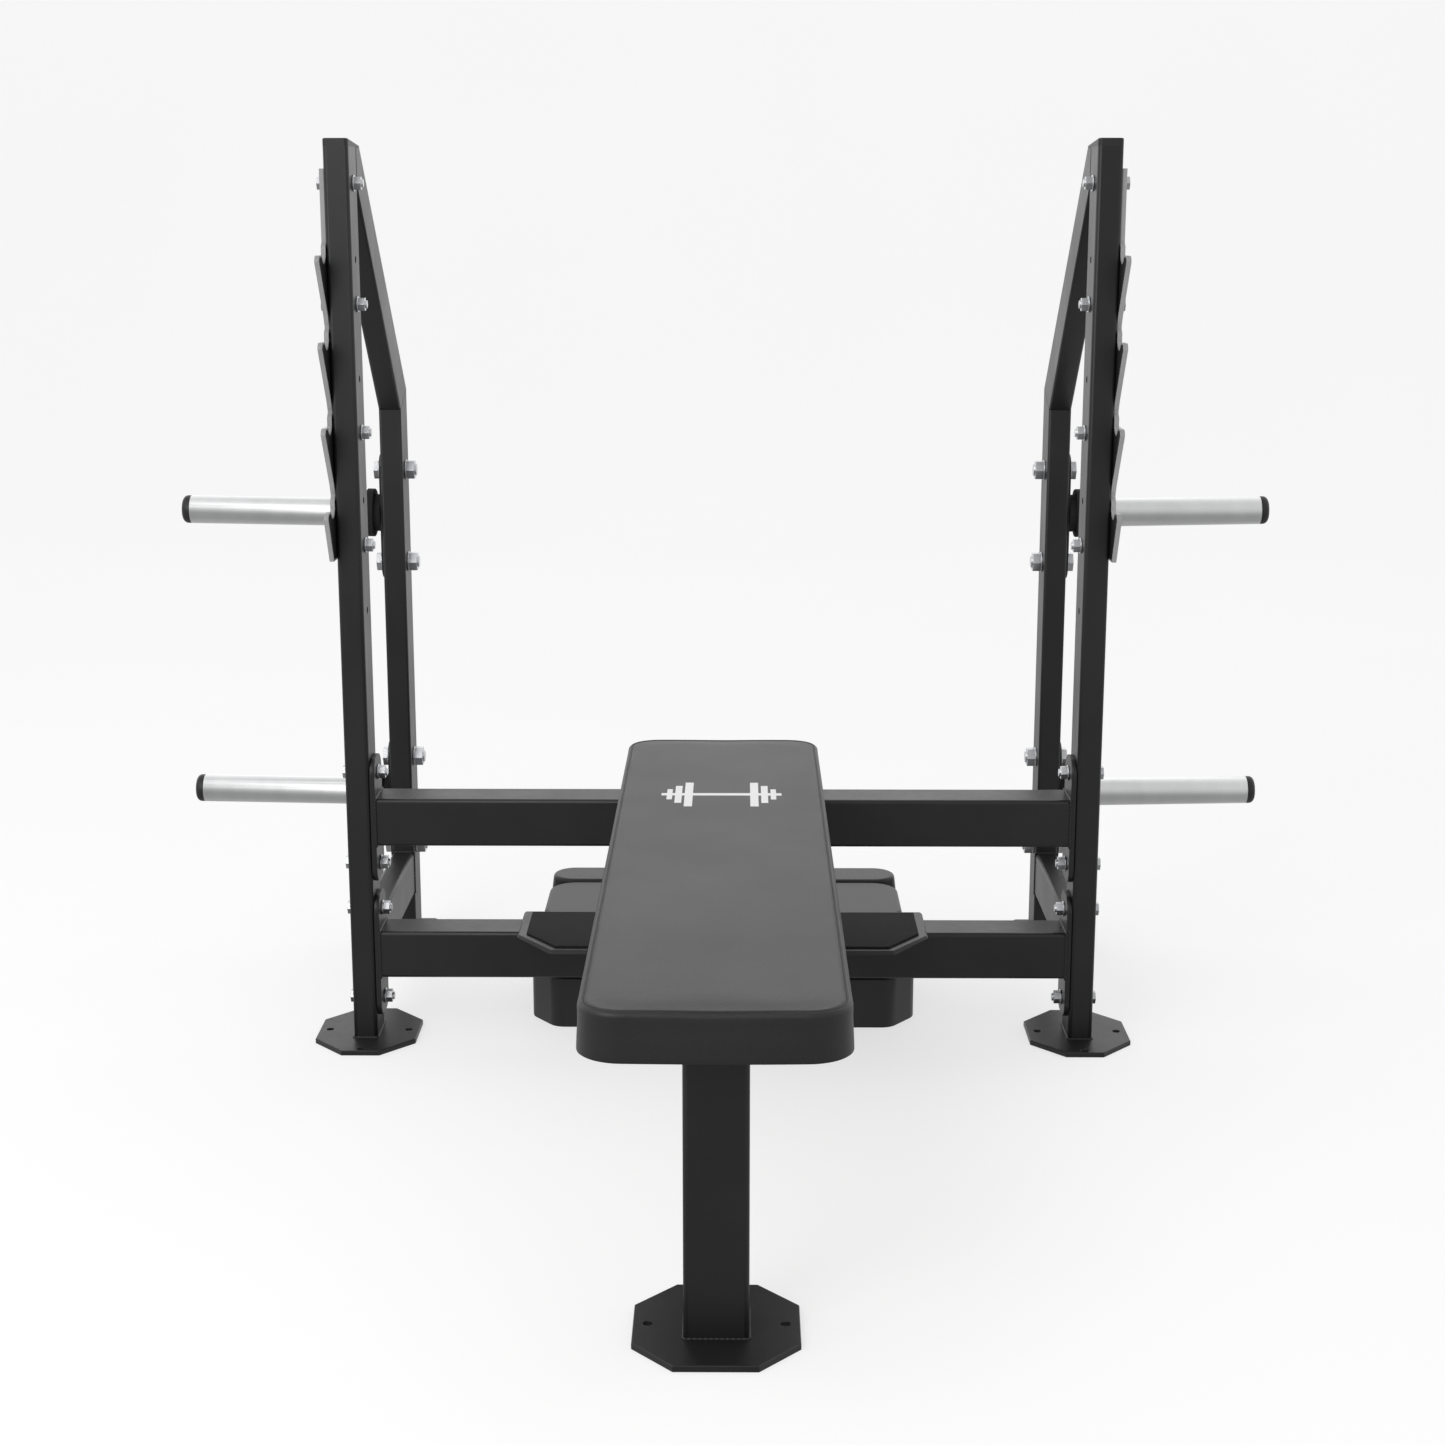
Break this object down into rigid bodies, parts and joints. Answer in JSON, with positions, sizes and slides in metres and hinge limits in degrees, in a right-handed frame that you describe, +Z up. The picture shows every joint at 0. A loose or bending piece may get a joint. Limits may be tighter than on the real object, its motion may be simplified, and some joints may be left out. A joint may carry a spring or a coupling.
{
  "type": "olympic bench press",
  "caption": "Flat bench press with a bar rack of hooked catches at several heights, plate storage horns and a spotter step.",
  "frame": {"origin": "on the floor, under the middle of the overall box", "axes": "+X across the bench, along the bar and the storage horns; +Y along the bench from the foot end to the rack; +Z up"},
  "size_m": [1.8804, 1.801, 1.4058],
  "materials": {
    "frame_paint": "satin",
    "vinyl": "satin",
    "board": "matte",
    "zinc": "satin",
    "chrome": "polished",
    "rubber": "matte",
    "black_plastic": "matte",
    "liner": "matte",
    "step_shell": "satin"
  },
  "bodies": {
    "root": {"bar_catch_left": "frame_paint", "bar_catch_right": "frame_paint", "bench_spine": "frame_paint", "catch_liners_left": "liner", "catch_liners_right": "liner", "front_foot_left": "frame_paint", "front_foot_right": "frame_paint", "front_leg": "frame_paint", "front_post_left": "frame_paint", "front_post_right": "frame_paint", "horn_caps": "black_plastic", "horn_stops": "rubber", "leg_foot": "frame_paint", "lower_crossbeam": "frame_paint", "lower_flange_left": "frame_paint", "lower_flange_right": "frame_paint", "lower_horn_left": "chrome", "lower_horn_plate_left": "frame_paint", "lower_horn_plate_right": "frame_paint", "lower_horn_right": "chrome", "pad": "vinyl", "pad_board": "board", "pad_brackets": "frame_paint", "pad_screws": "zinc", "post_cap_left": "black_plastic", "post_cap_right": "black_plastic", "rack_bolts": "zinc", "rack_nuts": "zinc", "rack_washers": "zinc", "rear_foot_left": "frame_paint", "rear_foot_right": "frame_paint", "rear_post_left": "frame_paint", "rear_post_right": "frame_paint", "side_rail_left": "frame_paint", "side_rail_right": "frame_paint", "spine_bolts": "zinc", "spine_flange": "frame_paint", "spine_nuts": "zinc", "step_body": "step_shell", "step_lip": "step_shell", "step_skirt": "step_shell", "top_brace_left": "frame_paint", "top_brace_right": "frame_paint", "tread_mat": "rubber", "tread_plate": "frame_paint", "upper_crossbeam": "frame_paint", "upper_flange_left": "frame_paint", "upper_flange_right": "frame_paint", "upper_horn_left": "chrome", "upper_horn_plate_left": "frame_paint", "upper_horn_plate_right": "frame_paint", "upper_horn_right": "chrome"}
  },
  "joints": []
}
